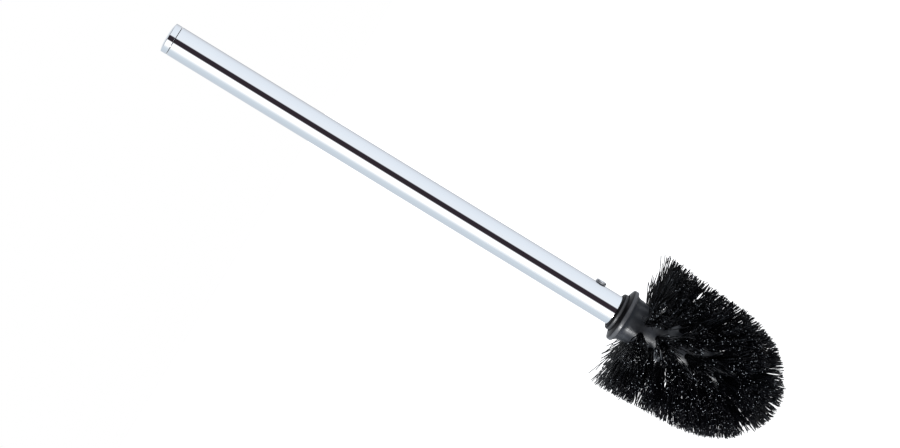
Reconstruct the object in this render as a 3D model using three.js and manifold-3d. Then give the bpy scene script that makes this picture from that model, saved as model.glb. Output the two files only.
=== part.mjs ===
// Toilet brush with a chromed tube handle and a screw-off head.
// Millimetres, +Z up: the bristle tip is at z = 0 and the handle runs up the Z axis.

import * as THREE from 'three';
import { mergeVertices } from 'three/addons/utils/BufferGeometryUtils.js';
import Module from 'manifold-3d';

const wasm = await Module();
wasm.setup();

// ---------------------------------------------------------------- driving dimensions

const GAP = 0.3; // clearance between pieces that touch

// Handle tube and its end cap
const TUBE_RADIUS = 8;
const TUBE_WALL = 1;
const TUBE_BOTTOM = 91.3;
const TUBE_TOP = 358.5;
const CAP_TOP = 363;
const CAP_EDGE = 0.6; // radius of the cap's rounded rim
const CAP_CROWN = 0.9; // rise of the domed top above its rim
const CAP_FLAT_RADIUS = 3;
const CAP_SPIGOT_LENGTH = 12;
const CAP_SHOULDER = 0.35; // share of the crown already fallen halfway to the rim
const SPIGOT_LEAD = { width: 0.6, height: 1.5 };

// Knuckle thread that joins the head to the handle
const THREAD_PITCH = 3;
const THREAD_RADIUS = 4.2; // radius of the ridge's centre line
const RIDGE_RADIUS = 0.85;
const THREAD_CLEARANCE = 0.45;
const RIDGE_BOTTOM = 93;
const RIDGE_TURNS = 4;
const SHANK_TOP = 106.6;
const SHANK_CHAMFER = 1;

// Insert in the tube's lower end, and the screw that keeps it there
const INSERT_TOP = 121;
const INSERT_CHAMFER = 1;
const BORE_TOP = 107.6;
const BORE_POINT = 1.2; // height of the cone that the drill leaves above the bore
const GROOVE_RUN_IN = 1; // turns of the female thread below the ridge's start
const GROOVE_RUN_OUT = 0.3; // and past its end
const SCREW_HEIGHT = 111.2;
const SCREW_SHANK_RADIUS = 1.5;
const SCREW_HEAD_RADIUS = 2.9;
const SCREW_HEAD_HEIGHT = 1.4;
const SCREW_DEPTH = 5.5; // from the tube's surface to the screw's tip
const SCREW_TAPER = 0.5;
const SCREW_RIM_SHARE = 0.35; // straight part of the screw head's side
const SLOT_LENGTH = 2.6; // the two bars of the screw's cross recess
const SLOT_WIDTH = 0.8;
const SLOT_DEPTH = 0.6;

// Rubber ring round the tube, on top of the head's flange
const RING_RADIUS = 10.1;
const RING_TOP = 97.8;
const RING_BEAD = 1.5; // half height of its rounded bead
const RING_SIDE = 0.4; // how far the bead's side bulges
const RING_WAIST = 0.6; // the ring narrows by this much below the bead

// Moulded core of the head
const FLANGE_RADIUS = 14.2;
const SEAT_HEIGHT = 94.3; // flat floor of the recess that holds the ring
const RECESS_RADIUS = 10.5;
const FLANGE_TOP = 95.3;
const FLANGE_EDGE_TOP = 94; // the flange's upper face falls to here at its edge
const FLANGE_BOTTOM = 91.7;
const FLANGE_EDGE = 0.5;
const RECESS_CHAMFER = 0.3;
const NECK_RADIUS = 11.7;
const FILLET_WIDTH = 1.3; // from the neck out to the flange's lower face
const FILLET_HEIGHT = 3;
const CORE_RADIUS = 10.4;
const NECK_BOTTOM = 84;
const DOME_BASE = 38; // the core's rounded end starts here
const DOME_HEIGHT = 11;
const CORE_TAPER = 0.6; // the core is this much thicker at its neck than at its rounded end
const HOLE_RADIUS = 1.8;
const HOLE_DEPTH = 3.3;
const HOLE_REACH = 1.5; // how far the drill starts outside the surface

// Trimmed outline of the bristles: a half ellipse below, a slight cone above
const TRIM_RADIUS = 35;
const TRIM_DOME = 46;
const TRIM_TOP_RADIUS = 37.8;
const TRIM_TOP = 84;
const LAYER_DEPTH = 10; // outer layer in which neighbouring tufts have spread into one another

// Tufts. A turn is in degrees round from the screw's side, and a lean in degrees from the horizontal
// towards the bristle tip. A place on the core's rounded end is 0 at its base and 90 at its tip.
const TUFT_ROOT_RADIUS = 1.2;
const FAN_LIP = 0.4; // the fan starts this far out of the hole
const FAN_LENGTH = 19; // from the core's surface into the outer layer
const FAN_HALF_HEIGHT = 3.8;
const FAN_SHARE = 0.75; // width of a fan, as a share of its place in the ring
const TUFT_ROWS = 6;
const TUFTS_PER_ROW = 9;
const FIRST_TURN = 6;
const FIRST_ROW_HEIGHT = 81.3;
const ROW_SPACING = 8.8;
const FIRST_LEAN = 1;
const LAST_LEAN = 34;
const BACK_LEAN = -6; // the back face of the first row
const DOME_ROW = { count: 8, turn: 0, place: 38, lean: 50 };
const TIP_ROW = { count: 4, turn: 22.5, place: 68, lean: 73 };

// Facets round a turn, and the size below which a facet is merged with its neighbour
const MERGE = 0.04;
const ROUND_SIDES = 32;
const HEAD_SIDES = 24;
const TUFT_SIDES = 6;
const THREAD_STEPS = 16;
const SCREW_SIDES = 14;

// ---------------------------------------------------------------- geometry helpers

// Closed three.js geometry to a solid for joining and cutting.
function solid(geometry) {
  geometry.deleteAttribute('normal');
  geometry.deleteAttribute('uv');
  const welded = mergeVertices(geometry, 1e-4);
  const corners = welded.index.array;
  const triangles = [];
  for (let i = 0; i < corners.length; i += 3) {
    const triangle = [corners[i], corners[i + 1], corners[i + 2]];
    if (new Set(triangle).size === 3) triangles.push(...triangle);
  }
  return new wasm.Manifold(new wasm.Mesh({
    numProp: 3,
    vertProperties: Float32Array.from(welded.attributes.position.array),
    triVerts: Uint32Array.from(triangles),
  }));
}

function geometryOf(body) {
  const { vertProperties, triVerts } = body.simplify(MERGE).getMesh();
  const geometry = new THREE.BufferGeometry();
  geometry.setAttribute('position', new THREE.BufferAttribute(vertProperties, 3));
  geometry.setIndex(new THREE.BufferAttribute(triVerts, 1));
  geometry.computeVertexNormals();
  return geometry;
}

// Outline of [radius, height] points turned round the Z axis.
// The points run anticlockwise, so that the faces point out.
function turned(outline, sides = ROUND_SIDES) {
  const points = outline.map(([radius, height]) => new THREE.Vector2(radius, height));
  return solid(new THREE.LatheGeometry(points, sides).rotateX(Math.PI / 2));
}

// Quarter arc of an ellipse between two directions in degrees, as outline points.
function arc(centreRadius, centreHeight, across, up, from, to, steps) {
  const points = [];
  for (let i = 0; i <= steps; i += 1) {
    const angle = THREE.MathUtils.degToRad(from + (to - from) * i / steps);
    points.push([centreRadius + across * Math.cos(angle), centreHeight + up * Math.sin(angle)]);
  }
  return points;
}

// Frustum that starts at a point and runs along a direction.
function frustum(start, direction, length, startRadius, endRadius, sides) {
  const geometry = new THREE.CylinderGeometry(endRadius, startRadius, length, sides);
  const turn = new THREE.Quaternion().setFromUnitVectors(new THREE.Vector3(0, 1, 0), direction);
  geometry.translate(0, length / 2, 0);
  geometry.applyQuaternion(turn);
  geometry.translate(start.x, start.y, start.z);
  return solid(geometry);
}

class Helix extends THREE.Curve {
  constructor(radius, pitch, bottom, turns) {
    super();
    Object.assign(this, { radius, pitch, bottom, turns });
  }

  getPoint(t, target = new THREE.Vector3()) {
    const angle = 2 * Math.PI * this.turns * t;
    const height = this.bottom + this.pitch * this.turns * t;
    return target.set(this.radius * Math.cos(angle), this.radius * Math.sin(angle), height);
  }
}

// Round ridge that winds up the thread, right-handed.
function threadRidge(bottom, turns, ridgeRadius) {
  const section = new THREE.Shape().absarc(0, 0, ridgeRadius, 0, 2 * Math.PI);
  const helix = new Helix(THREAD_RADIUS, THREAD_PITCH, bottom, turns);
  return solid(new THREE.ExtrudeGeometry(section, {
    steps: Math.round(turns * THREAD_STEPS),
    curveSegments: 3,
    extrudePath: helix,
  }));
}

// ---------------------------------------------------------------- handle

function screwAxisPoint(distance) {
  return new THREE.Vector3(distance, 0, SCREW_HEIGHT);
}

const OUTWARD = new THREE.Vector3(1, 0, 0);

function screwHole(radius, from, to) {
  return frustum(screwAxisPoint(from), OUTWARD, to - from, radius, radius, SCREW_SIDES);
}

function handleTube() {
  const inner = TUBE_RADIUS - TUBE_WALL;
  const wall = turned([
    [inner, TUBE_BOTTOM],
    [TUBE_RADIUS, TUBE_BOTTOM],
    [TUBE_RADIUS, TUBE_TOP],
    [inner, TUBE_TOP],
    [inner, TUBE_BOTTOM],
  ]);
  return wall.subtract(screwHole(SCREW_SHANK_RADIUS + GAP, TUBE_RADIUS / 2, TUBE_RADIUS + 2));
}

function endCap() {
  const spigotRadius = TUBE_RADIUS - TUBE_WALL - GAP;
  const seat = TUBE_TOP + GAP;
  const rim = CAP_TOP - CAP_CROWN;
  return turned([
    [0, seat - CAP_SPIGOT_LENGTH],
    [spigotRadius - SPIGOT_LEAD.width, seat - CAP_SPIGOT_LENGTH],
    [spigotRadius, seat - CAP_SPIGOT_LENGTH + SPIGOT_LEAD.height],
    [spigotRadius, seat],
    ...arc(TUBE_RADIUS - CAP_EDGE / 2, seat + CAP_EDGE / 2, CAP_EDGE / 2, CAP_EDGE / 2, -90, 0, 2),
    ...arc(TUBE_RADIUS - CAP_EDGE, rim - CAP_EDGE, CAP_EDGE, CAP_EDGE, 0, 75, 3),
    [(TUBE_RADIUS + CAP_FLAT_RADIUS) / 2, CAP_TOP - CAP_CROWN * CAP_SHOULDER],
    [CAP_FLAT_RADIUS, CAP_TOP],
    [0, CAP_TOP],
  ]);
}

function threadedInsert() {
  const outer = TUBE_RADIUS - TUBE_WALL - GAP;
  const boreRadius = THREAD_RADIUS + THREAD_CLEARANCE;
  const grooveRadius = RIDGE_RADIUS + THREAD_CLEARANCE;
  const body = turned([
    [0, BORE_TOP + BORE_POINT],
    [boreRadius, BORE_TOP],
    [boreRadius, TUBE_BOTTOM],
    [outer, TUBE_BOTTOM],
    [outer, INSERT_TOP - INSERT_CHAMFER],
    [outer - INSERT_CHAMFER, INSERT_TOP],
    [0, INSERT_TOP],
  ]);
  const grooveBottom = RIDGE_BOTTOM - GROOVE_RUN_IN * THREAD_PITCH;
  const grooveTurns = GROOVE_RUN_IN + RIDGE_TURNS + GROOVE_RUN_OUT;
  const groove = threadRidge(grooveBottom, grooveTurns, grooveRadius);
  const pilot = screwHole(SCREW_SHANK_RADIUS + GAP, TUBE_RADIUS - SCREW_DEPTH - GAP, TUBE_RADIUS);
  return body.subtract(groove).subtract(pilot);
}

function retainingScrew() {
  const seat = TUBE_RADIUS + GAP;
  const point = TUBE_RADIUS - SCREW_DEPTH;
  const tipRadius = SCREW_SHANK_RADIUS - SCREW_TAPER;
  const rim = SCREW_HEAD_HEIGHT * SCREW_RIM_SHARE;
  const shankLength = seat + rim / 2 - point;
  const start = screwAxisPoint(point);
  const shank = frustum(start, OUTWARD, shankLength, tipRadius, SCREW_SHANK_RADIUS, SCREW_SIDES);
  const crown = SCREW_HEAD_HEIGHT - rim;
  const head = turned([
    [0, 0],
    [SCREW_HEAD_RADIUS, 0],
    ...arc(SCREW_HEAD_RADIUS - crown, rim, crown, crown, 0, 90, 4),
    [0, SCREW_HEAD_HEIGHT],
  ], 20).rotate([0, 90, 0]).translate([seat, 0, SCREW_HEIGHT]);
  const recessBar = (across, along) => {
    const bar = new THREE.BoxGeometry(SLOT_DEPTH * 2, across, along);
    return solid(bar.translate(seat + SCREW_HEAD_HEIGHT, 0, SCREW_HEIGHT));
  };
  const cross = recessBar(SLOT_WIDTH, SLOT_LENGTH).add(recessBar(SLOT_LENGTH, SLOT_WIDTH));
  return shank.add(head).subtract(cross);
}

// ---------------------------------------------------------------- collar ring and core

function collarRing() {
  const inner = TUBE_RADIUS + GAP;
  const bottom = SEAT_HEIGHT + GAP;
  const middle = (RING_RADIUS + inner) / 2;
  const half = (RING_RADIUS - inner) / 2;
  const beadHeight = RING_TOP - RING_BEAD;
  return turned([
    [inner, bottom],
    [RING_RADIUS - RING_WAIST, bottom],
    ...arc(RING_RADIUS - RING_SIDE, beadHeight, RING_SIDE, RING_BEAD, -60, 0, 2),
    ...arc(middle, beadHeight, half, RING_BEAD, 30, 150, 4),
    [inner, beadHeight],
    [inner, bottom],
  ]);
}

function coreRadiusAt(height) {
  if (height >= DOME_BASE) {
    const rise = (height - DOME_BASE) / (NECK_BOTTOM - DOME_BASE);
    return CORE_RADIUS + CORE_TAPER * Math.min(rise, 1);
  }
  return CORE_RADIUS * Math.sqrt(1 - ((DOME_BASE - height) / DOME_HEIGHT) ** 2);
}

// Each ring of tufts: how many, where it leaves the core, and how it leans.
function tuftRings() {
  const rings = [];
  for (let row = 0; row < TUFT_ROWS; row += 1) {
    const height = FIRST_ROW_HEIGHT - ROW_SPACING * row;
    rings.push({
      name: `bristle_row_${row + 1}`,
      count: TUFTS_PER_ROW,
      turn: FIRST_TURN + 180 / TUFTS_PER_ROW * (row % 2),
      radius: coreRadiusAt(height),
      height,
      lean: THREE.MathUtils.lerp(FIRST_LEAN, LAST_LEAN, row / (TUFT_ROWS - 1)),
    });
  }
  const endRing = (name, { count, turn, place, lean }) => {
    const angle = THREE.MathUtils.degToRad(place);
    const radius = CORE_RADIUS * Math.cos(angle);
    const height = DOME_BASE - DOME_HEIGHT * Math.sin(angle);
    return { name, count, turn, radius, height, lean };
  };
  rings.push(endRing(`bristle_row_${TUFT_ROWS + 1}`, DOME_ROW));
  rings.push(endRing('bristle_tip', TIP_ROW));
  return rings;
}

const RINGS = tuftRings();

// Start point on the core's surface and direction of one tuft.
function tuftAxis(ring, index) {
  const around = THREE.MathUtils.degToRad(ring.turn + 360 * index / ring.count);
  const lean = THREE.MathUtils.degToRad(ring.lean);
  const outward = new THREE.Vector3(Math.cos(around), Math.sin(around), 0);
  const start = outward.clone().multiplyScalar(ring.radius).setZ(ring.height);
  const direction = outward.multiplyScalar(Math.cos(lean)).setZ(-Math.sin(lean));
  return { start, direction };
}

function eachTuft(ring, make) {
  const solids = [];
  for (let index = 0; index < ring.count; index += 1) {
    const { start, direction } = tuftAxis(ring, index);
    solids.push(make(start, direction));
  }
  return wasm.Manifold.union(solids);
}

function brushCore() {
  const socket = TUBE_RADIUS + GAP;
  const shankRadius = THREAD_RADIUS;
  const filletRadius = NECK_RADIUS + FILLET_WIDTH;
  const filletHeight = FLANGE_BOTTOM - FILLET_HEIGHT;
  const body = turned([
    ...arc(0, DOME_BASE, CORE_RADIUS, DOME_HEIGHT, -90, 0, 6),
    [coreRadiusAt(NECK_BOTTOM), NECK_BOTTOM],
    ...arc(filletRadius, filletHeight, FILLET_WIDTH, FILLET_HEIGHT, 180, 90, 2),
    [FLANGE_RADIUS - FLANGE_EDGE, FLANGE_BOTTOM],
    [FLANGE_RADIUS, FLANGE_BOTTOM + FLANGE_EDGE],
    [FLANGE_RADIUS, FLANGE_EDGE_TOP - FLANGE_EDGE],
    [FLANGE_RADIUS - FLANGE_EDGE, FLANGE_EDGE_TOP],
    [RECESS_RADIUS + RECESS_CHAMFER, FLANGE_TOP],
    [RECESS_RADIUS, FLANGE_TOP - RECESS_CHAMFER],
    [RECESS_RADIUS, SEAT_HEIGHT],
    [socket, SEAT_HEIGHT],
    [socket, TUBE_BOTTOM - GAP],
    [shankRadius, TUBE_BOTTOM - GAP],
    [shankRadius, SHANK_TOP - SHANK_CHAMFER],
    [shankRadius - SHANK_CHAMFER, SHANK_TOP],
    [0, SHANK_TOP],
  ], HEAD_SIDES);
  const ridge = threadRidge(RIDGE_BOTTOM, RIDGE_TURNS, RIDGE_RADIUS);
  const holes = RINGS.map((ring) => eachTuft(ring, (start, direction) => {
    const mouth = start.clone().addScaledVector(direction, HOLE_REACH);
    const inward = direction.clone().negate();
    return frustum(mouth, inward, HOLE_DEPTH + HOLE_REACH, HOLE_RADIUS, HOLE_RADIUS, TUFT_SIDES);
  }));
  return body.add(ridge).subtract(wasm.Manifold.union(holes));
}

// ---------------------------------------------------------------- bristles

// Whether a point of the half plane lies inside the trimmed outline drawn in by a depth.
function insideOutline(radius, height, depth) {
  const below = TRIM_DOME - height;
  if (below > 0) {
    return (radius / (TRIM_RADIUS - depth)) ** 2 + (below / (TRIM_DOME - depth)) ** 2 < 1;
  }
  const slope = (TRIM_TOP_RADIUS - TRIM_RADIUS) / (TRIM_TOP - TRIM_DOME);
  return radius < TRIM_RADIUS - depth - slope * below;
}

// Where a ray from the core leaves that outline.
function outlinePoint(ray, depth) {
  const lean = THREE.MathUtils.degToRad(ray.lean);
  const pointAt = (distance) => [
    ray.radius + Math.cos(lean) * distance,
    ray.height - Math.sin(lean) * distance,
  ];
  let near = 0;
  let far = 2 * TRIM_DOME;
  for (let halving = 0; halving < 40; halving += 1) {
    const middle = (near + far) / 2;
    if (insideOutline(...pointAt(middle), depth)) near = middle;
    else far = middle;
  }
  return pointAt(near);
}

function rayBetween(first, second, part) {
  const mix = (key) => THREE.MathUtils.lerp(first[key], second[key], part);
  return { radius: mix('radius'), height: mix('height'), lean: mix('lean') };
}

// The ray moved sideways, towards the handle where the distance is positive.
function shifted(ray, distance) {
  const lean = THREE.MathUtils.degToRad(ray.lean);
  return {
    radius: ray.radius + Math.sin(lean) * distance,
    height: ray.height + Math.cos(lean) * distance,
    lean: ray.lean,
  };
}

// The outer layer of one ring of tufts: the space between its neighbours' layers.
function outerLayer(place) {
  const ring = RINGS[place];
  const first = place === 0;
  const last = place === RINGS.length - 1;
  const backEdge = { radius: ring.radius, height: ring.height + ROW_SPACING / 2, lean: BACK_LEAN };
  const axis = { radius: 0, height: DOME_BASE - DOME_HEIGHT, lean: 90 };
  const upper = first ? backEdge : shifted(rayBetween(RINGS[place - 1], ring, 0.5), -GAP / 2);
  const lower = last ? axis : shifted(rayBetween(ring, RINGS[place + 1], 0.5), GAP / 2);
  const steps = last ? 4 : 2;
  const side = (depth) => {
    const points = [];
    for (let i = 0; i <= steps; i += 1) {
      points.push(outlinePoint(rayBetween(lower, upper, i / steps), depth));
    }
    return points;
  };
  const outer = side(0);
  return turned([...outer, ...side(LAYER_DEPTH).reverse(), outer[0]], HEAD_SIDES);
}

// One tuft: a round root that fills its hole, then a flat fan that runs into the outer layer.
function tuft(start, direction, halfWidth) {
  const rootLength = HOLE_DEPTH - GAP;
  const levels = [
    { along: -rootLength, width: TUFT_ROOT_RADIUS, height: TUFT_ROOT_RADIUS },
    { along: FAN_LIP, width: TUFT_ROOT_RADIUS, height: TUFT_ROOT_RADIUS },
    { along: FAN_LENGTH, width: halfWidth, height: FAN_HALF_HEIGHT },
  ];
  const geometry = new THREE.CylinderGeometry(1, 1, levels.length - 1, TUFT_SIDES, levels.length - 1);
  const points = geometry.attributes.position;
  for (let i = 0; i < points.count; i += 1) {
    const level = levels[Math.round(points.getY(i) + (levels.length - 1) / 2)];
    points.setXYZ(i, points.getX(i) * level.width, level.along, points.getZ(i) * level.height);
  }
  const sideways = new THREE.Vector3(-start.y, start.x, 0).normalize();
  const upright = new THREE.Vector3().crossVectors(sideways, direction);
  const place = new THREE.Matrix4().makeBasis(sideways, direction, upright);
  return solid(geometry.applyMatrix4(place.setPosition(start)));
}

// A ring of tufts as one closed body, because the outer ends of neighbouring tufts mingle.
function bristleRing(place) {
  const ring = RINGS[place];
  const endRadius = ring.radius + FAN_LENGTH * Math.cos(THREE.MathUtils.degToRad(ring.lean));
  const halfWidth = FAN_SHARE * endRadius * Math.sin(Math.PI / ring.count);
  const tufts = eachTuft(ring, (start, direction) => tuft(start, direction, halfWidth));
  return outerLayer(place).add(tufts);
}

// ---------------------------------------------------------------- materials and scene graph

function finish(color, roughness, metalness) {
  return new THREE.MeshStandardMaterial({ color, roughness, metalness });
}

function piece(name, body, material) {
  const mesh = new THREE.Mesh(geometryOf(body), material);
  mesh.name = name;
  return mesh;
}

const brush = new THREE.Group();

const handle = new THREE.Group();
handle.add(piece('handle_tube', handleTube(), finish(0xdfe5ec, 0.06, 1)));
handle.add(piece('end_cap', endCap(), finish(0xe3e9f0, 0.12, 1)));
handle.add(piece('threaded_insert', threadedInsert(), finish(0x2b2c2e, 0.55, 0)));
handle.add(piece('retaining_screw', retainingScrew(), finish(0xc9ccd0, 0.25, 1)));
brush.add(handle);

brush.add(piece('collar_ring', collarRing(), finish(0x1c1d20, 0.6, 0)));

const head = new THREE.Group();
head.add(piece('brush_core', brushCore(), finish(0x2e2f33, 0.4, 0)));
RINGS.forEach((ring, place) => {
  head.add(piece(ring.name, bristleRing(place), finish(0x0c0d0f, 0.5, 0)));
});
brush.add(head);

export default brush;
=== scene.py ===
"""Toilet brush: chromed tube handle, rubber ring, moulded core and bristle tufts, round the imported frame."""

import math

import bmesh
import bpy
import numpy as np
from mathutils import Matrix, Vector


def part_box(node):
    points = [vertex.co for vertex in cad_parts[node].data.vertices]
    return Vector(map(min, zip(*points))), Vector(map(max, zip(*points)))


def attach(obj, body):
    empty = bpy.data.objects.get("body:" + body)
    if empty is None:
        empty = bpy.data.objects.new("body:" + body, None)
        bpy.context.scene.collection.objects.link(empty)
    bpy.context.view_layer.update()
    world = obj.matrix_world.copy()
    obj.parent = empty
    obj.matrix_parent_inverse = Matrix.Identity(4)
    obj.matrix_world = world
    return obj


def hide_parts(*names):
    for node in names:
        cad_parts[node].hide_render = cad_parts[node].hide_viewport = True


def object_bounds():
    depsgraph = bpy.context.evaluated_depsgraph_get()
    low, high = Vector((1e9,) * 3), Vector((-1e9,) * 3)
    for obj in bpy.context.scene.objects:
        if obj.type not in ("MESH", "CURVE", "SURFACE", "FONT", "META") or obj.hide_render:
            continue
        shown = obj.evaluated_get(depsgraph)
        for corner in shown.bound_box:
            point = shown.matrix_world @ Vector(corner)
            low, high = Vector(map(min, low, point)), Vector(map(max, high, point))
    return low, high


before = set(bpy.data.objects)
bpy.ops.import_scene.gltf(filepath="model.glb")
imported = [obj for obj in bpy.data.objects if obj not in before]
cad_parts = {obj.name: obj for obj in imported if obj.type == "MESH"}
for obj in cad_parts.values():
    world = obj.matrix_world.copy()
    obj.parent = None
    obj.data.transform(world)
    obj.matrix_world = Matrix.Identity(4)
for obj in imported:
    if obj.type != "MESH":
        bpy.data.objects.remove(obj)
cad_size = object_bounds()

MM = 0.001
SEED = 7
UP = np.array([0.0, 0.0, 1.0])
ALONG_X = np.array([1.0, 0.0, 0.0])

# ------------------------------------------------------------------ camera

VIEW_DISTANCE = 1.5
VIEW_ELEVATION = 4.5
VIEW_ROLL = 58.52  # the handle points up and to the left
LENS = 118.6
AIM = Vector((-6.2 * MM, 0, 0.53 * cad_size[1].z))
CLIP_START = 0.05


def add_camera():
    tilt = math.radians(VIEW_ELEVATION)
    roll = math.radians(VIEW_ROLL)
    back = Vector((0, -math.cos(tilt), math.sin(tilt)))
    right = Vector((1, 0, 0))
    up = back.cross(right)
    rolled_right = right * math.cos(roll) - up * math.sin(roll)
    rolled_up = right * math.sin(roll) + up * math.cos(roll)
    data = bpy.data.cameras.new("camera")
    data.lens = LENS
    data.clip_start = CLIP_START
    camera = bpy.data.objects.new("camera", data)
    bpy.context.scene.collection.objects.link(camera)
    place = Matrix((rolled_right, rolled_up, back)).transposed().to_4x4()
    place.translation = AIM + back * VIEW_DISTANCE
    camera.matrix_world = place
    bpy.context.scene.camera = camera


# ------------------------------------------------------------------ shader helpers


class Nodes:
    """A node tree under construction."""

    def __init__(self, tree):
        self.tree = tree

    def node(self, kind, **settings):
        made = self.tree.nodes.new(kind)
        for key, value in settings.items():
            setattr(made, key, value)
        return made

    def link(self, output, target):
        self.tree.links.new(output, target)

    def math(self, operation, *values):
        made = self.node("ShaderNodeMath", operation=operation)
        for value, socket in zip(values, made.inputs):
            if isinstance(value, (int, float)):
                socket.default_value = value
            else:
                self.link(value, socket)
        return made.outputs["Value"]

    def spread(self, factor, low, high, start=0.3, end=0.7, interpolation="LINEAR"):
        """A factor from start to end, spread from low to high."""
        spread = self.node("ShaderNodeMapRange", interpolation_type=interpolation)
        spread.inputs["From Min"].default_value = start
        spread.inputs["From Max"].default_value = end
        spread.inputs["To Min"].default_value = low
        spread.inputs["To Max"].default_value = high
        self.link(factor, spread.inputs["Value"])
        return spread.outputs["Result"]

    def mix(self, factor, first, second):
        mix = self.node("ShaderNodeMix", data_type="RGBA")
        self.link(factor, mix.inputs["Factor"])
        for value, socket in ((first, mix.inputs["A"]), (second, mix.inputs["B"])):
            if isinstance(value, tuple):
                socket.default_value = (*value, 1)
            else:
                self.link(value, socket)
        return mix.outputs["Result"]


class Shader(Nodes):
    """A node material under construction."""

    def __init__(self, name):
        self.material = bpy.data.materials.new(name)
        self.material.use_nodes = True
        super().__init__(self.material.node_tree)
        self.bsdf = self.tree.nodes["Principled BSDF"]
        self.place = self.node("ShaderNodeTexCoord").outputs["Object"]

    def constants(self, **sockets):
        for name, value in sockets.items():
            self.bsdf.inputs[name.replace("_", " ")].default_value = value

    def noise(self, scale, detail=3.0, stretch=(1, 1, 1)):
        mapping = self.node("ShaderNodeMapping")
        mapping.inputs["Scale"].default_value = stretch
        self.link(self.place, mapping.inputs["Vector"])
        noise = self.node("ShaderNodeTexNoise")
        noise.inputs["Scale"].default_value = scale
        noise.inputs["Detail"].default_value = detail
        self.link(mapping.outputs["Vector"], noise.inputs["Vector"])
        return noise.outputs["Fac"]

    def height(self, start, end):
        """0 up to one height on the piece, 1 from another, and a ramp between them."""
        split = self.node("ShaderNodeSeparateXYZ")
        self.link(self.place, split.inputs[0])
        return self.spread(split.outputs["Z"], 0, 1, start, end)

    def bump(self, height, depth):
        bump = self.node("ShaderNodeBump")
        bump.inputs["Strength"].default_value = 1
        bump.inputs["Distance"].default_value = depth
        self.link(height, bump.inputs["Height"])
        self.link(bump.outputs["Normal"], self.bsdf.inputs["Normal"])


# ------------------------------------------------------------------ measures

# From the frame where it has them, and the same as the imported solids' where it hasn't
tube_low, tube_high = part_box("handle_tube")
cap_low, cap_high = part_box("end_cap")
screw_low, screw_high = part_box("retaining_screw")
insert_low, insert_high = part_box("threaded_insert")
ring_low, ring_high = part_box("collar_ring")
core_low, core_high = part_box("brush_core")

TUBE_RADIUS = tube_high.x
TUBE_WALL = 1.0 * MM
SKIN = 0.2 * MM  # faces less than this inside the tube's radius are plated
GAP = 0.3 * MM  # between pieces that touch
SCREW_HEIGHT = (screw_low.z + screw_high.z) / 2
SCREW_HEAD_HEIGHT = 1.4 * MM
SCREW_SHANK_RADIUS = 1.5 * MM

RING_BEAD = 1.5 * MM
SEAT_HEIGHT = ring_low.z - GAP
FLANGE_RADIUS = core_high.x
FLANGE_TOP = SEAT_HEIGHT + 1.0 * MM
FLANGE_EDGE_TOP = SEAT_HEIGHT - 0.3 * MM
FLANGE_BOTTOM = SEAT_HEIGHT - 2.6 * MM
RECESS_RADIUS = 10.5 * MM
NECK_RADIUS = 11.7 * MM
NECK_BOTTOM = 84 * MM
CORE_RADIUS = 10.4 * MM
CORE_TAPER = 0.6 * MM
DOME_BASE = 38 * MM
DOME_HEIGHT = DOME_BASE - core_low.z
HOLE_RADIUS = 1.8 * MM
HOLE_DEPTH = 3.3 * MM
DRILL_REACH = 1.5 * MM  # how far outside a surface a drill starts

# ------------------------------------------------------------------ materials


def chrome():
    """Mirror-bright plating with a faint haze and hair-fine polishing lines round the tube.

    Faces marked dull are bare, unplated surfaces inside."""
    s = Shader("chrome")
    s.constants(Metallic=1.0)
    haze = s.noise(35, 5)
    lines = s.noise(9, 2, stretch=(1, 1, 260))
    dull = s.node("ShaderNodeAttribute", attribute_name="dull").outputs["Fac"]
    plated = s.mix(haze, (0.86, 0.885, 0.92), (0.91, 0.93, 0.955))
    s.link(s.mix(dull, plated, (0.07, 0.07, 0.075)), s.bsdf.inputs["Base Color"])
    dull_roughness = 0.4
    rough = s.math("MULTIPLY_ADD", dull, dull_roughness, s.spread(haze, 0.012, 0.045))
    s.link(rough, s.bsdf.inputs["Roughness"])
    s.bump(lines, 0.0004 * MM)
    return s.material


def screw_steel():
    """Bright zinc plating with brushed marks and a little dulling."""
    s = Shader("screw_steel")
    s.constants(Metallic=1.0)
    dull = s.noise(900, 4)
    s.link(s.mix(dull, (0.58, 0.59, 0.61), (0.84, 0.85, 0.87)), s.bsdf.inputs["Base Color"])
    s.link(s.spread(dull, 0.5, 0.34), s.bsdf.inputs["Roughness"])
    s.bump(s.noise(3000, 2, stretch=(1, 1, 0.15)), 0.006 * MM)
    return s.material


def insert_plastic():
    """Matt black moulding with a clouded colour, uneven gloss and a fine grain."""
    s = Shader("insert_plastic")
    s.link(s.mix(s.noise(90), (0.012, 0.012, 0.014), (0.03, 0.03, 0.034)), s.bsdf.inputs["Base Color"])
    s.link(s.spread(s.noise(150), 0.6, 0.45), s.bsdf.inputs["Roughness"])
    s.bump(s.noise(2200), 0.02 * MM)
    return s.material


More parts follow.
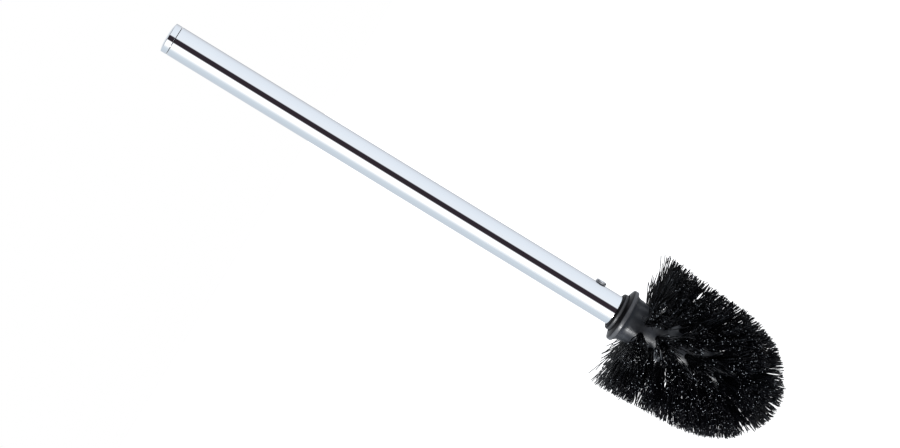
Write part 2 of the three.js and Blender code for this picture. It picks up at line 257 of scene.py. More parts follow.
def core_plastic():
    """Slate-black moulding, painted paler round the flange's rim as a highlight and painted near-black on the
    cone above it as shade.
    """
    s = Shader("core_plastic")
    flat = s.node("ShaderNodeVectorMath", operation="MULTIPLY")
    flat.inputs[1].default_value = (1, 1, 0)
    s.link(s.place, flat.inputs[0])
    radius = s.node("ShaderNodeVectorMath", operation="LENGTH")
    s.link(flat.outputs["Vector"], radius.inputs[0])
    # Painted highlight: the flange's rim is painted paler, standing in for the light it catches.
    painted_rim_highlight = s.spread(radius.outputs["Value"], 0, 1, FLANGE_RADIUS - 0.9 * MM, FLANGE_RADIUS - 0.1 * MM)
    # Painted shade: the cone above the rim is painted near-black, with a lower specular level, standing in for
    # the dark gap under the ring.
    painted_cone_shade = s.height(FLANGE_EDGE_TOP - 0.25 * MM, FLANGE_EDGE_TOP + 0.1 * MM)
    body = s.mix(s.noise(90), (0.027, 0.030, 0.036), (0.036, 0.040, 0.048))
    # The paler colour is the painted highlight on the rim, and the near-black one is the painted shade on the
    # cone.
    pale = s.mix(s.noise(500, 4), (0.042, 0.044, 0.05), (0.096, 0.099, 0.108))
    dark = s.mix(s.noise(500, 4), (0.004, 0.004, 0.005), (0.008, 0.008, 0.009))
    s.link(s.mix(painted_cone_shade, s.mix(painted_rim_highlight, body, pale), dark), s.bsdf.inputs["Base Color"])
    s.link(s.spread(s.noise(150), 0.36, 0.27), s.bsdf.inputs["Roughness"])
    s.link(s.spread(painted_cone_shade, 0.5, 0.12, 0, 1), s.bsdf.inputs["Specular IOR Level"])
    s.bump(s.noise(1500), 0.002 * MM)
    return s.material


def ring_rubber():
    """Dark grey rubber round the side, painted near-black on the lip next to the tube as shade."""
    s = Shader("ring_rubber")
    bead = ring_high.z - RING_BEAD
    # Painted shade: the lip next to the tube is painted near-black, with a lower specular level, standing in
    # for the shadowed gap round the tube.
    painted_lip_shade = s.height(bead + 0.25 * MM, bead + 0.6 * MM)
    side_grey = s.mix(s.noise(110), (0.036, 0.037, 0.04), (0.062, 0.064, 0.069))
    # This near-black colour is the painted shade on the lip.
    black = s.mix(s.noise(400), (0.003, 0.003, 0.004), (0.006, 0.006, 0.007))
    s.link(s.mix(painted_lip_shade, side_grey, black), s.bsdf.inputs["Base Color"])
    s.link(s.spread(s.noise(150), 0.44, 0.34), s.bsdf.inputs["Roughness"])
    s.link(s.spread(painted_lip_shade, 0.5, 0.14, 0, 1), s.bsdf.inputs["Specular IOR Level"])
    s.bump(s.noise(3000), 0.0025 * MM)
    return s.material


def bristle():
    """Black extruded filament: each a slightly different black, some worn grey, and on some the cut end is
    painted pale as a glint.
    """
    s = Shader("bristle")
    s.constants(Specular_IOR_Level=0.28)
    island = s.node("ShaderNodeNewGeometry").outputs["Random Per Island"]
    cut_end = s.node("ShaderNodeAttribute", attribute_name="cut_end").outputs["Fac"]
    blacks = s.mix(island, (0.0008, 0.0009, 0.0012), (0.0055, 0.006, 0.008))
    worn = s.spread(island, 0, 1, 0.95, 1.0)
    blacks = s.mix(worn, blacks, (0.03, 0.034, 0.04))
    # Painted highlight: the pale colour on some cut ends stands in for the glints the filament tips catch.
    ends = s.mix(s.spread(island, 0, 1, 0.15, 0.35), (0.29, 0.32, 0.35), (0.012, 0.013, 0.015))
    s.link(s.mix(cut_end, blacks, ends), s.bsdf.inputs["Base Color"])
    s.link(s.spread(s.noise(700, 2), 0.1, 0.3), s.bsdf.inputs["Roughness"])
    s.bump(s.noise(2600, 2), 0.008 * MM)
    return s.material


MATERIALS = {
    "chrome": chrome(),
    "screw_steel": screw_steel(),
    "insert_plastic": insert_plastic(),
    "ring_rubber": ring_rubber(),
    "core_plastic": core_plastic(),
    "bristle": bristle(),
}

# ------------------------------------------------------------------ mesh helpers

SIDES = 160
TUBE_SIDES = 192
CORNER_STEPS = 4
CREASE = 38  # degrees, for turned pieces
WIRE_CREASE = 80
ON_AXIS = 1e-7  # a radius below this is on the axis


def smooth(mesh, crease):
    """Shades a mesh smooth, with edges kept sharp where faces meet at more than the crease angle."""
    mesh.polygons.foreach_set("use_smooth", [True] * len(mesh.polygons))
    mesh.set_sharp_from_angle(angle=math.radians(crease))


def mark_faces(mesh, name, marks):
    mesh.attributes.new(name, "FLOAT", "FACE").data.foreach_set("value", marks)


def piece_from(name, vertices, faces, slot, crease=CREASE):
    """A new smooth-shaded object with its material and slot."""
    mesh = bpy.data.meshes.new(name)
    mesh.from_pydata(vertices, [], faces)
    mesh.validate()
    smooth(mesh, crease)
    piece = bpy.data.objects.new(name, mesh)
    bpy.context.scene.collection.objects.link(piece)
    mesh.materials.append(MATERIALS[slot])
    return piece


def rounded(corners):
    """An outline from (radius, height, rounding) corners, each one rounded by an arc-like curve."""
    outline = []
    for i, (radius, height, rounding) in enumerate(corners):
        here = np.array([radius, height])
        if rounding == 0:
            outline.append(tuple(here))
            continue
        before = np.array(corners[i - 1][:2]) - here
        after = np.array(corners[(i + 1) % len(corners)][:2]) - here
        start = here + before / np.linalg.norm(before) * rounding
        end = here + after / np.linalg.norm(after) * rounding
        for step in range(CORNER_STEPS + 1):
            t = step / CORNER_STEPS
            point = (1 - t) ** 2 * start + 2 * t * (1 - t) * here + t**2 * end
            outline.append(tuple(point))
    return outline


def subdivided(outline, longest, closed=False):
    """The outline with extra points, so that no stretch is longer than a given length."""
    ends = list(outline[1:]) + ([outline[0]] if closed else [])
    fine = []
    for start, end in zip(outline, ends):
        steps = max(1, math.ceil(math.dist(start, end) / longest))
        for step in range(steps):
            t = step / steps
            fine.append((start[0] + (end[0] - start[0]) * t, start[1] + (end[1] - start[1]) * t))
    return fine if closed else fine + [outline[-1]]


def turned(name, outline, slot, sides=SIDES, shape=None):
    """A closed piece turned round Z. The outline starts and ends on the axis, or closes on itself.

    shape(radius, height, angle) may change the radius, as a thread does."""
    closed = outline[0][0] > ON_AXIS
    vertices, rings = [], []
    for radius, height in outline:
        if radius < ON_AXIS:
            rings.append([len(vertices)])
            vertices.append((0.0, 0.0, height))
            continue
        rings.append(range(len(vertices), len(vertices) + sides))
        for side in range(sides):
            angle = 2 * math.pi * side / sides
            r = shape(radius, height, angle) if shape else radius
            vertices.append((r * math.cos(angle), r * math.sin(angle), height))
    faces = []
    following = rings[1:] + rings[:1] if closed else rings[1:]
    for low, high in zip(rings, following):
        for side in range(sides):
            corners = [low[side % len(low)], low[(side + 1) % len(low)]]
            corners += [high[(side + 1) % len(high)], high[side % len(high)]]
            faces.append(tuple(dict.fromkeys(corners)))
    return piece_from(name, vertices, faces, slot)


def mark_dull(piece, inside):
    """Marks the faces whose middle lies inside, by radius and height."""
    polygons = piece.data.polygons
    marks = [float(inside(face.center.xy.length, face.center.z)) for face in polygons]
    mark_faces(piece.data, "dull", marks)


def cut(piece, cutter):
    """Cuts one mesh out of another for good, and removes the cutter."""
    boolean = piece.modifiers.new("cut", "BOOLEAN")
    boolean.operation = "DIFFERENCE"
    boolean.solver = "EXACT"
    boolean.object = cutter
    graph = bpy.context.evaluated_depsgraph_get()
    made = bpy.data.meshes.new_from_object(piece.evaluated_get(graph))
    piece.modifiers.clear()
    piece.data = made
    smooth(made, CREASE)
    bpy.data.objects.remove(cutter)


def drill(centres, directions, radius, depth, reach=DRILL_REACH, sides=28):
    """Round cutters, each starting outside a point and running inwards against its direction."""
    vertices, faces = [], []
    for centre, direction in zip(centres, directions):
        across = np.cross(direction, UP if abs(direction[2]) < 0.9 else ALONG_X)
        across /= np.linalg.norm(across)
        along = np.cross(direction, across)
        first = len(vertices)
        for distance in (reach, -depth):
            for side in range(sides):
                angle = 2 * math.pi * side / sides
                rim = (across * math.cos(angle) + along * math.sin(angle)) * radius
                vertices.append(tuple(centre + direction * distance + rim))
        for side in range(sides):
            after = (side + 1) % sides
            faces.append((first + side, first + after, first + sides + after, first + sides + side))
        faces.append(tuple(first + side for side in reversed(range(sides))))
        faces.append(tuple(first + sides + side for side in range(sides)))
    mesh = bpy.data.meshes.new("cutter")
    mesh.from_pydata(vertices, [], faces)
    work = bmesh.new()
    work.from_mesh(mesh)
    bmesh.ops.recalc_face_normals(work, faces=work.faces)
    work.to_mesh(mesh)
    work.free()
    cutter = bpy.data.objects.new("cutter", mesh)
    bpy.context.scene.collection.objects.link(cutter)
    return cutter


def sweep(name, paths, radius, slot, sides, mark_ends=False):
    """Round wires along paths, an array of wires by stations by 3. Their far ends may be marked cut_end."""
    wires, stations, _ = paths.shape
    tangents = np.gradient(paths, axis=1)
    tangents /= np.linalg.norm(tangents, axis=2, keepdims=True)
    reference = np.where(np.abs(tangents[:, :1, 2:]) < 0.8, UP, ALONG_X)
    first = np.cross(tangents, reference)
    first /= np.linalg.norm(first, axis=2, keepdims=True)
    second = np.cross(tangents, first)
    angles = 2 * np.pi * np.arange(sides) / sides
    rings = (
        paths[:, :, None]
        + radius * np.cos(angles)[:, None] * first[:, :, None]
        + radius * np.sin(angles)[:, None] * second[:, :, None]
    )
    vertices = rings.reshape(-1, 3)
    here = np.arange(sides)
    after = (here + 1) % sides
    ring = np.stack([here, after, after + sides, here + sides], axis=1)
    wire = np.concatenate([ring + sides * station for station in range(stations - 1)])
    quads = (wire[None] + (np.arange(wires) * stations * sides)[:, None, None]).reshape(-1, 4)
    faces = quads.tolist()
    starts = np.arange(wires)[:, None] * stations * sides
    faces += (starts + here[::-1]).tolist()
    faces += (starts + (stations - 1) * sides + here).tolist()
    piece = piece_from(name, vertices.tolist(), faces, slot, crease=WIRE_CREASE)
    if mark_ends:
        marks = np.zeros(len(faces), np.float32)
        marks[-wires:] = 1
        mark_faces(piece.data, "cut_end", marks)
    return piece


# ------------------------------------------------------------------ handle

# Knuckle thread
PITCH = 3 * MM
THREAD_RADIUS = 4.2 * MM
RIDGE_RADIUS = 0.85 * MM
RIDGE_BOTTOM = 93 * MM
RIDGE_TURNS = 4
RIDGE_FADE = 0.2  # turns over which the ridge rises at each end
GROOVE_RUN_IN = 1  # turns of the groove below the ridge's start
GROOVE_RUN_OUT = 0.3  # and past its end
THREAD_CLEARANCE = 0.45 * MM
THREAD_STEP = 0.25 * MM  # height of a row of faces on the thread
NEAR_THREAD = 0.1 * MM  # an outline's points this close to the thread's radius carry it


def knuckle(ridge_radius, first_turn, last_turn):
    """The radius of a right-handed round ridge that winds up the thread between two turns."""

    def shape(radius, height, angle):
        turn = (height - RIDGE_BOTTOM) / PITCH - angle / (2 * math.pi)
        nearest = min(max(round(turn), first_turn - 1), last_turn)
        offset = (turn - nearest) * PITCH
        along = nearest + angle / (2 * math.pi)
        from_end = min(along - first_turn, last_turn - along)
        fade = min(1, max(0, from_end / RIDGE_FADE))
        reach = ridge_radius * fade
        if abs(offset) >= reach:
            return radius
        return max(radius, THREAD_RADIUS + math.sqrt(reach**2 - offset**2) * fade)

    return shape


def handle_tube():
    """A plain tube with a clearance hole for the screw in the wall on its +X side."""
    inner = TUBE_RADIUS - TUBE_WALL
    edge = 0.12 * MM
    longest_face = 12 * MM
    below_screw = SCREW_HEIGHT - 3 * MM
    above_screw = SCREW_HEIGHT + 3 * MM
    corners = [
        (TUBE_RADIUS, tube_low.z, edge),
        (TUBE_RADIUS, below_screw, 0),
        (TUBE_RADIUS, above_screw, 0),
        (TUBE_RADIUS, tube_high.z, edge),
        (inner, tube_high.z, edge),
        (inner, above_screw, 0),
        (inner, below_screw, 0),
        (inner, tube_low.z, edge),
    ]
    outline = subdivided(rounded(corners), longest_face, closed=True)
    tube = turned("chrome_tube", outline, "chrome", sides=TUBE_SIDES)
    middle_of_wall = ALONG_X * (TUBE_RADIUS - TUBE_WALL / 2) + UP * SCREW_HEIGHT
    hole = drill([middle_of_wall], [ALONG_X], SCREW_SHANK_RADIUS + GAP, depth=1.5 * MM)
    cut(tube, hole)
    mark_dull(tube, lambda radius, height: radius < TUBE_RADIUS - SKIN)
    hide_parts("handle_tube")
    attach(tube, "handle")


def end_cap():
    """A plug cap: a spigot in the tube, a rim as wide as the tube and a low crown with a flat middle."""
    spigot = TUBE_RADIUS - TUBE_WALL - GAP
    seat = tube_high.z + GAP
    crown = 0.9 * MM
    flat = 3 * MM
    rim = cap_high.z - crown
    crown_steps = 12
    corners = [
        (0, cap_low.z, 0),
        (spigot - 0.6 * MM, cap_low.z, 0.3 * MM),
        (spigot, cap_low.z + 1.5 * MM, 0.4 * MM),
        (spigot, seat, 0.1 * MM),
        (TUBE_RADIUS, seat, 0.1 * MM),
        (TUBE_RADIUS, rim, 0.3 * MM),
        (flat, cap_high.z, 0),
    ]
    outline = rounded(corners)[:-1]
    edge_radius, edge_height = outline[-1]
    for step in range(1, crown_steps + 1):
        share = step / crown_steps
        radius = edge_radius + (flat - edge_radius) * share
        height = cap_high.z - (cap_high.z - edge_height) * (1 - share) ** 2
        outline.append((radius, height))
    outline.append((0, cap_high.z))
    cap = turned("domed_cap", outline, "chrome", sides=TUBE_SIDES)
    mark_dull(cap, lambda radius, height: radius < TUBE_RADIUS - SKIN and height < seat + GAP / 2)
    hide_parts("end_cap")
    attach(cap, "handle")


def retaining_screw():
    """A pan-head screw with a cross recess, turned upright and then laid along +X."""
    length = screw_high.x - screw_low.x
    under_head = length - SCREW_HEAD_HEIGHT - GAP  # the head bears on the tube
    head_radius = screw_high.y
    head_edge = 0.15 * MM
    thread_pitch = 0.5 * MM
    thread_depth = 0.16 * MM
    plain_length = 0.4 * MM  # under the head
    shank_radius = 0.985 * SCREW_SHANK_RADIUS
    shank_step = 0.12 * MM
    tip = (1.0 * MM, 0.3 * MM)
    rim_share = 0.35  # straight part of the head's side

    def thread(radius, height, angle):
        if radius > 0.99 * SCREW_SHANK_RADIUS or height > under_head - plain_length:
            return radius
        wave = 0.5 + 0.5 * math.cos(2 * math.pi * height / thread_pitch - angle)
        return radius - thread_depth * wave

    outline = [(0, 0), *subdivided([tip, (shank_radius, under_head)], shank_step)]
    outline += [(head_radius - head_edge, under_head), (head_radius, under_head + head_edge)]
    rim = under_head + GAP + rim_share * SCREW_HEAD_HEIGHT
    dome_radius = 1.1 * MM
    dome_steps = 10
    for step in range(dome_steps + 1):
        angle = math.pi / 2 * step / dome_steps
        radius = head_radius - dome_radius + dome_radius * math.cos(angle)
        outline.append((radius, rim + (length - rim) * math.sin(angle)))
    outline.append((0, length))
    screw = turned("pan_head_screw", outline, "screw_steel", sides=64, shape=thread)
    recess = (2.6 * MM, 0.7 * MM, 1.2 * MM)  # half of its height is in the head
    recess_foot = 0.45  # length of a recess bar's foot, as a share of its top's
    recess_turn = 20
    for turn in (recess_turn, recess_turn + 90):
        mesh = bpy.data.meshes.new("bar")
        work = bmesh.new()
        bmesh.ops.create_cube(work, size=1)
        bmesh.ops.scale(work, vec=recess, verts=work.verts)
        for vertex in work.verts:
            if vertex.co.z < 0:
                vertex.co.x *= recess_foot
        bmesh.ops.rotate(work, matrix=Matrix.Rotation(math.radians(turn), 3, "Z"), verts=work.verts)
        bmesh.ops.translate(work, vec=(0, 0, length), verts=work.verts)
        work.to_mesh(mesh)
        work.free()
        bar = bpy.data.objects.new("bar", mesh)
        bpy.context.scene.collection.objects.link(bar)
        cut(screw, bar)
    screw.data.transform(Matrix.Rotation(math.radians(90), 4, "Y"))
    screw.data.transform(Matrix.Translation((screw_low.x, 0, SCREW_HEIGHT)))
    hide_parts("retaining_screw")
    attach(screw, "handle")


def threaded_insert():
    """A plug with a threaded bore, grooves round its outside and a pilot hole for the screw."""
    outer = TUBE_RADIUS - TUBE_WALL - GAP
    bore = THREAD_RADIUS + THREAD_CLEARANCE
    bore_top = 107.6 * MM
    bore_point = 1.2 * MM
    foot_chamfer = 0.3 * MM
    top_chamfer = 1 * MM
    wall = subdivided([(bore, bore_top), (bore, insert_low.z)], THREAD_STEP)
    outline = [(0, bore_top + bore_point), *wall]
    outline += [(outer - foot_chamfer, insert_low.z), (outer, insert_low.z + foot_chamfer)]
    groove_count = 5
    first_groove = 5 * MM
    groove_spacing = 4.5 * MM
    groove_depth = 0.25 * MM
    groove_slope = 0.6 * MM
    groove_height = 2.2 * MM
    for step in range(groove_count):
        low = insert_low.z + first_groove + groove_spacing * step
        high = low + groove_height
        outline += [(outer, low), (outer - groove_depth, low + groove_slope)]
        outline += [(outer - groove_depth, high - groove_slope), (outer, high)]
    top = insert_high.z
    outline += [(outer, top - top_chamfer), (outer - top_chamfer, top), (0, top)]
    thread = knuckle(RIDGE_RADIUS + THREAD_CLEARANCE, -GROOVE_RUN_IN, RIDGE_TURNS + GROOVE_RUN_OUT)

    def shape(radius, height, angle):
        return thread(radius, height, angle) if radius < bore + NEAR_THREAD else radius

    insert = turned("threaded_plug", outline[::-1], "insert_plastic", sides=96, shape=shape)
    insert.data.flip_normals()
    side = ALONG_X * outer + UP * SCREW_HEIGHT
    cut(insert, drill([side], [ALONG_X], SCREW_SHANK_RADIUS + GAP, depth=4.6 * MM, reach=1 * MM))
    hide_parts("threaded_insert")
    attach(insert, "handle")


# ------------------------------------------------------------------ ring and core


def collar_ring():
    """A rounded bead round the tube, above a narrower foot that stands in the flange's recess."""
    inner = TUBE_RADIUS + GAP
    foot = ring_high.x - 0.6 * MM
    chamfer = 0.15 * MM
    outline = [(inner, ring_low.z + chamfer), (inner + chamfer, ring_low.z)]
    outline += [(foot - chamfer, ring_low.z), (foot, ring_low.z + chamfer)]
    middle = (ring_high.x + inner) / 2
    half = (ring_high.x - inner) / 2
    bead = ring_high.z - RING_BEAD
    bead_start = -58  # degrees round the bead, from its outermost point
    bead_end = 180
    bead_steps = 28
    for step in range(bead_steps + 1):
        angle = math.radians(bead_start + (bead_end - bead_start) * step / bead_steps)
        outline.append((middle + half * math.cos(angle), bead + RING_BEAD * math.sin(angle)))
    ring = turned("collar_gasket", outline, "ring_rubber")
    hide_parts("collar_ring")
    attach(ring, "collar")


def core_radius_at(height):
    """The core's radius: a slight taper up to the neck, and half an ellipsoid at the end."""
    if height >= DOME_BASE:
        rise = (height - DOME_BASE) / (NECK_BOTTOM - DOME_BASE)
        return CORE_RADIUS + CORE_TAPER * min(rise, 1)
    return CORE_RADIUS * math.sqrt(max(0, 1 - ((DOME_BASE - height) / DOME_HEIGHT) ** 2))


# Rings of tufts. A turn is in degrees round from the screw's side, and a lean in degrees from the
# horizontal towards the bristle tip. A place on the core's rounded end is 0 at its base, 90 at its tip.
TUFT_ROWS = 6
TUFTS_PER_ROW = 9
FIRST_TURN = 6
FIRST_ROW_HEIGHT = 81.3 * MM
ROW_SPACING = 8.8 * MM
FIRST_LEAN = 1
LAST_LEAN = 34
DOME_ROW = {"count": 8, "turn": 0, "place": 38, "lean": 50}
TIP_ROW = {"count": 4, "turn": 22.5, "place": 68, "lean": 73}


def tuft_rings():
    rings = []
    for row in range(TUFT_ROWS):
        height = FIRST_ROW_HEIGHT - ROW_SPACING * row
        rings.append({
            "node": f"bristle_row_{row + 1}",
            "count": TUFTS_PER_ROW,
            "turn": FIRST_TURN + 180 / TUFTS_PER_ROW * (row % 2),
            "radius": core_radius_at(height),
            "height": height,
            "lean": FIRST_LEAN + (LAST_LEAN - FIRST_LEAN) * row / (TUFT_ROWS - 1),
        })
    for node, end in ((f"bristle_row_{TUFT_ROWS + 1}", DOME_ROW), ("bristle_tip", TIP_ROW)):
        place = math.radians(end["place"])
        rings.append({
            "node": node,
            "count": end["count"],
            "turn": end["turn"],
            "radius": CORE_RADIUS * math.cos(place),
            "height": DOME_BASE - DOME_HEIGHT * math.sin(place),
            "lean": end["lean"],
        })
    return rings


RINGS = tuft_rings()


def tuft_axes(ring):
    """Start on the core's surface and direction of each tuft in a ring."""
    lean = math.radians(ring["lean"])
    axes = []
    for index in range(ring["count"]):
        around = math.radians(ring["turn"] + 360 * index / ring["count"])
        outward = np.array([math.cos(around), math.sin(around), 0.0])
        start = outward * ring["radius"] + UP * ring["height"]
        axes.append((start, outward * math.cos(lean) - UP * math.sin(lean)))
    return axes


def brush_core():
    """The moulding: drilled core with a rounded end, neck, flange, socket for the tube and threaded shank."""
    socket = TUBE_RADIUS + GAP
    socket_floor = tube_low.z - GAP
    outline = [(0, core_low.z)]
    dome_steps = 15
    for step in range(1, dome_steps):
        angle = math.pi / 2 * (step / dome_steps - 1)
        outline.append((CORE_RADIUS * math.cos(angle), DOME_BASE + DOME_HEIGHT * math.sin(angle)))
    outline += subdivided([(CORE_RADIUS, DOME_BASE), (core_radius_at(NECK_BOTTOM), NECK_BOTTOM)], 1 * MM)
    fillet_width = 1.9 * MM
    fillet_height = 4.2 * MM
    fillet_steps = 8
    for step in range(fillet_steps + 1):
        angle = math.pi / 2 * step / fillet_steps
        across = NECK_RADIUS + fillet_width * (1 - math.cos(angle))
        outline.append((across, FLANGE_BOTTOM - fillet_height * (1 - math.sin(angle))))
    outline += rounded([
        (NECK_RADIUS + fillet_width, FLANGE_BOTTOM, 0),
        (FLANGE_RADIUS, FLANGE_BOTTOM, 0.55 * MM),
        (FLANGE_RADIUS, FLANGE_EDGE_TOP, 0.7 * MM),
        (RECESS_RADIUS, FLANGE_TOP, 0.25 * MM),
        (RECESS_RADIUS, SEAT_HEIGHT, 0.15 * MM),
        (socket, SEAT_HEIGHT, 0.2 * MM),
        (socket, socket_floor, 0.2 * MM),
        (THREAD_RADIUS, socket_floor, 0),
    ])
    shank_top = core_high.z
    chamfer = 1 * MM
    shank = subdivided([(THREAD_RADIUS, socket_floor), (THREAD_RADIUS, shank_top - chamfer)], THREAD_STEP)
    outline += [*shank[1:], (THREAD_RADIUS - chamfer, shank_top), (0, shank_top)]
    ridge = knuckle(RIDGE_RADIUS, 0, RIDGE_TURNS)

    def shape(radius, height, angle):
        on_shank = height > socket_floor and abs(radius - THREAD_RADIUS) < NEAR_THREAD
        return ridge(radius, height, angle) if on_shank else radius

    core = turned("moulded_core", outline, "core_plastic", sides=144, shape=shape)
    starts, directions = [], []
    for ring in RINGS:
        for start, direction in tuft_axes(ring):
            starts.append(start)
            directions.append(direction)
    cut(core, drill(starts, directions, HOLE_RADIUS, HOLE_DEPTH))
    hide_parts("brush_core")
    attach(core, "head")


# ------------------------------------------------------------------ bristles

# Trimmed outline of the bristles: a half ellipse below, a slight cone above
TRIM_RADIUS = 35 * MM
TRIM_DOME = 46 * MM
TRIM_SLOPE = 2.8 / 38  # how fast the cone widens upwards
FURTHEST_TRIM = 70 * MM  # along a filament, beyond the outline wherever it points
TRIM_ROUNDS = 30

FILAMENT_RADIUS = 0.2 * MM
FILAMENTS = 96
STATIONS = 8
FILAMENT_SIDES = 5
BUNDLE_RADIUS = 1.45 * MM
FAN_REACH = 26 * MM
FAN_WIDTH = 7.6 * MM  # how far a tuft's outer filaments have spread round the ring at that reach
FAN_HEIGHT = 5.6 * MM
FAN_CURVES = (0.75, 2.0)  # a filament leaves its bundle at once, or only towards its end
FAN_JITTER = 1.1 * MM
TUFT_JITTER = 1.0 * MM
BOW = 0.7 * MM
TRIM_OFFSET = -0.1 * MM
TRIM_JITTER = 0.4 * MM
SHORT_SHARE = 0.13
SHORTENED_BY = (0.8 * MM, 5.0 * MM)
# Strays, in the first ring only, stand back towards the handle
STRAY_SHARE = 0.08
STRAY_BACK = (2 * MM, 8 * MM)
STRAY_SHORTENED_BY = (0, 9 * MM)
GOLDEN_ANGLE = math.pi * (3 - math.sqrt(5))


def outside_trim(points):
    """Positive where points lie outside the trimmed outline."""
    radius = np.linalg.norm(points[..., :2], axis=-1)
    below = TRIM_DOME - points[..., 2]
    dome = (radius / TRIM_RADIUS) ** 2 + (below / TRIM_DOME) ** 2 - 1
    cone = radius / (TRIM_RADIUS - TRIM_SLOPE * below) - 1
    return np.where(below > 0, dome, cone)


def tuft_paths(random, start, direction, first_row):
    """The paths of one tuft's filaments, from the bottom of the hole to the trimmed outline."""
    side = np.cross(UP, direction)
    side /= np.linalg.norm(side)
    back = np.cross(direction, side)  # towards the handle
    count = FILAMENTS
    order = (np.arange(count) + 0.5) / count
    turn = np.arange(count) * GOLDEN_ANGLE + random.uniform(0, 6.28)
    disc = np.sqrt(order)[:, None] * np.stack([np.cos(turn), np.sin(turn)], axis=1)
    root = disc * BUNDLE_RADIUS
    fan = disc * np.array([FAN_WIDTH, FAN_HEIGHT]) + random.normal(0, FAN_JITTER, (count, 2))
    fan += random.normal(0, TUFT_JITTER, 2)
    curve = random.uniform(*FAN_CURVES, count)[:, None]
    bow = random.normal(0, BOW, (count, 2))
    if first_row:
        stray = random.random(count) < STRAY_SHARE
        fan[:, 1] += np.where(stray, random.uniform(*STRAY_BACK, count), 0)

    def at(distance):
        share = distance / FAN_REACH
        spread = np.clip(share, 0, None) ** curve
        curl = np.sin(math.pi * np.clip(share, 0, 1))
        offset = root[:, None] + fan[:, None] * spread[..., None] + bow[:, None] * curl[..., None]
        return start + direction * distance[..., None] + side * offset[..., :1] + back * offset[..., 1:]

    near = np.zeros((count, 1))
    far = np.full((count, 1), FURTHEST_TRIM)
    for _ in range(TRIM_ROUNDS):
        middle = (near + far) / 2
        outside = outside_trim(at(middle)) > 0
        near, far = np.where(outside, near, middle), np.where(outside, middle, far)
    length = near[:, 0] + random.normal(TRIM_OFFSET, TRIM_JITTER, count)
    short = random.random(count) < SHORT_SHARE
    length -= np.where(short, random.uniform(*SHORTENED_BY, count), 0)
    if first_row:
        length -= np.where(stray, random.uniform(*STRAY_SHORTENED_BY, count), 0)
    foot = np.full((count, 1), -HOLE_DEPTH + 2 * FILAMENT_RADIUS)
    stations = length[:, None] * np.linspace(0, 1, STATIONS - 1)
    return at(np.concatenate([foot, stations], axis=1))


def bristle_rows():
    random = np.random.default_rng(SEED)
    for ring in RINGS:
        paths = []
        for start, direction in tuft_axes(ring):
            paths.append(tuft_paths(random, start, direction, first_row=ring is RINGS[0]))
        name = ring["node"].replace("bristle", "tufts")
        tufts = sweep(name, np.concatenate(paths), FILAMENT_RADIUS, "bristle", FILAMENT_SIDES, mark_ends=True)
        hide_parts(ring["node"])
        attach(tufts, "head")


def staples():
    """A bent wire at the bottom of each hole, which anchors the tuft."""
    wire = 0.28 * MM
    half = 1.25 * MM
    crown = 0.4 * half
    leg = 1.6 * MM
    bridge_steps = 6
    paths = []
    for ring in RINGS:
        for start, direction in tuft_axes(ring):
            side = np.cross(UP, direction)
            side /= np.linalg.norm(side)
            bridge = start - direction * (HOLE_DEPTH - wire)
            path = [bridge - side * half - direction * leg]
            for step in range(bridge_steps + 1):
                angle = math.pi * step / bridge_steps
                rise = crown * (math.sin(angle) - 1)
                path.append(bridge - side * half * math.cos(angle) + direction * rise)
            path.append(bridge + side * half - direction * leg)
            paths.append(path)
    wires = sweep("tuft_staples", np.array(paths), wire, "screw_steel", 8)
    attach(wires, "head")


# ------------------------------------------------------------------ stage

# Colours of the studio round the brush, by azimuth in degrees from the camera's side, towards +X
DARK = (0.031, 0.023, 0.030)
STUDIO = [
    (-180, (0.80, 0.84, 0.88)),
    (-160, (0.68, 0.72, 0.77)),
    (-140, (0.63, 0.68, 0.73)),
    (-118, (0.64, 0.70, 0.76)),
    (-98, (0.66, 0.73, 0.79)),
    (-80, (0.72, 0.78, 0.83)),
    (-62, (1.1, 1.1, 1.1)),
    (-56, (1.3, 1.3, 1.3)),
    (-21, (1.3, 1.3, 1.3)),
    (-15, DARK),
    (18, DARK),
    (23, (0.90, 0.93, 0.97)),
    (60, (0.87, 0.92, 0.98)),
    (105, (0.82, 0.87, 0.93)),
    (118, (0.77, 0.81, 0.87)),
    (140, (0.68, 0.70, 0.74)),
    (165, (0.36, 0.38, 0.41)),
    (178, (0.80, 0.84, 0.88)),
]
BELOW = (0.85, 0.86, 0.88)
ABOVE_FRONT = (0.03, 0.03, 0.034)
ABOVE_BACK = (0.55, 0.56, 0.59)
# Where floor, ceiling and the ceiling's two halves blend, as parts of a unit direction: Z, Z and Y
FLOOR_EDGE = (-0.5, -0.3)
CEILING_EDGE = (0.42, 0.68)
CEILING_SPLIT = (0.0, 0.4)


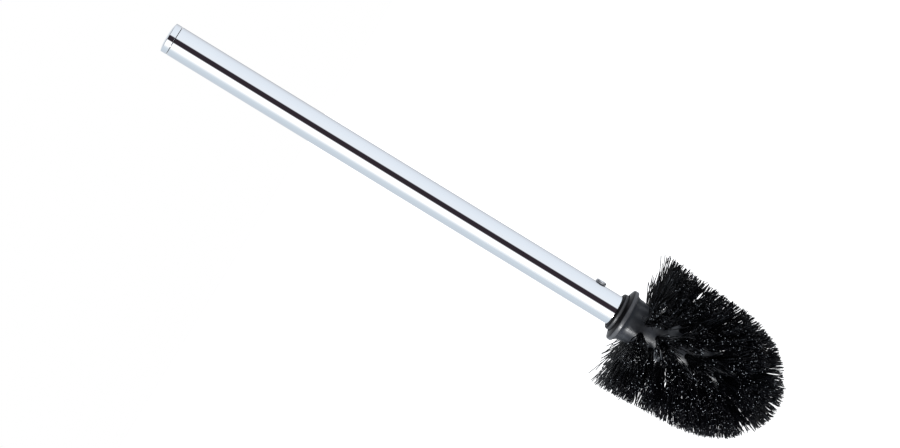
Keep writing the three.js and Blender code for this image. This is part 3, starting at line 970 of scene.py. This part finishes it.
def studio_world():
    """A plain white room to the eye, and the studio's panels to reflections and light."""
    world = bpy.data.worlds.new("studio")
    bpy.context.scene.world = world
    world.use_nodes = True
    world.node_tree.nodes.clear()
    s = Nodes(world.node_tree)
    direction = s.node("ShaderNodeSeparateXYZ")
    s.link(s.node("ShaderNodeTexCoord").outputs["Generated"], direction.inputs[0])
    x, y, z = direction.outputs
    azimuth = s.math("ARCTAN2", x, s.math("MULTIPLY", y, -1))
    ramp = s.node("ShaderNodeValToRGB")
    s.link(s.math("ADD", s.math("DIVIDE", azimuth, 2 * math.pi), 0.5), ramp.inputs["Fac"])
    stops = ramp.color_ramp.elements
    while len(stops) < len(STUDIO):
        stops.new(0.5)
    for stop, (angle, _) in zip(stops, STUDIO):
        stop.position = angle / 360 + 0.5
    # The colours come last, because moving a stop can change its place in the list
    for stop, (_, colour) in zip(stops, STUDIO):
        stop.color = (*colour, 1)
    walls = s.mix(s.spread(z, 0, 1, *FLOOR_EDGE, "SMOOTHSTEP"), BELOW, ramp.outputs["Color"])
    above = s.mix(s.spread(y, 0, 1, *CEILING_SPLIT, "SMOOTHSTEP"), ABOVE_FRONT, ABOVE_BACK)
    panels = s.node("ShaderNodeBackground")
    s.link(s.mix(s.spread(z, 0, 1, *CEILING_EDGE, "SMOOTHSTEP"), walls, above), panels.inputs["Color"])
    plain = s.node("ShaderNodeBackground")
    plain.inputs["Color"].default_value = (1, 1, 1, 1)
    pick = s.node("ShaderNodeMixShader")
    s.link(s.node("ShaderNodeLightPath").outputs["Is Camera Ray"], pick.inputs["Fac"])
    s.link(panels.outputs[0], pick.inputs[1])
    s.link(plain.outputs[0], pick.inputs[2])
    s.link(pick.outputs[0], s.node("ShaderNodeOutputWorld").inputs["Surface"])


def soft_box():
    """A bright soft box low on the left of the camera."""
    azimuth = math.radians(-47)
    elevation = math.radians(-18)
    distance = 1.7
    aim = Vector((0, 0, 80 * MM))
    width = 0.4
    height = 0.95
    radiance = 28
    data = bpy.data.lights.new("soft_box", "AREA")
    data.shape = "RECTANGLE"
    data.size = width
    data.size_y = height
    data.energy = radiance * math.pi * width * height
    light = bpy.data.objects.new("soft_box", data)
    bpy.context.scene.collection.objects.link(light)
    level = math.cos(elevation)
    outward = Vector((math.sin(azimuth) * level, -math.cos(azimuth) * level, math.sin(elevation)))
    light.location = aim + outward * distance
    light.rotation_euler = outward.to_track_quat("Z", "Y").to_euler()
    light.visible_camera = False


def floor():
    """A pale floor just below the bristles. It isn't seen in reflections and casts no shadow."""
    half_size = 12
    level = -2 * MM
    mesh = bpy.data.meshes.new("floor")
    corners = [(x * half_size, y * half_size, level) for x, y in ((-1, -1), (1, -1), (1, 1), (-1, 1))]
    mesh.from_pydata(corners, [], [(0, 1, 2, 3)])
    plane = bpy.data.objects.new("floor", mesh)
    bpy.context.scene.collection.objects.link(plane)
    s = Shader("floor")
    s.link(s.mix(s.noise(3), (0.8, 0.8, 0.8), (0.84, 0.84, 0.84)), s.bsdf.inputs["Base Color"])
    s.constants(Roughness=0.9, Emission_Color=(1, 1, 1, 1), Emission_Strength=1.0)
    mesh.materials.append(s.material)
    plane.visible_glossy = False
    plane.visible_shadow = False


# ------------------------------------------------------------------ scene

add_camera()
handle_tube()
end_cap()
retaining_screw()
threaded_insert()
collar_ring()
brush_core()
bristle_rows()
staples()
studio_world()
soft_box()
floor()
bpy.context.scene.view_settings.view_transform = "Standard"
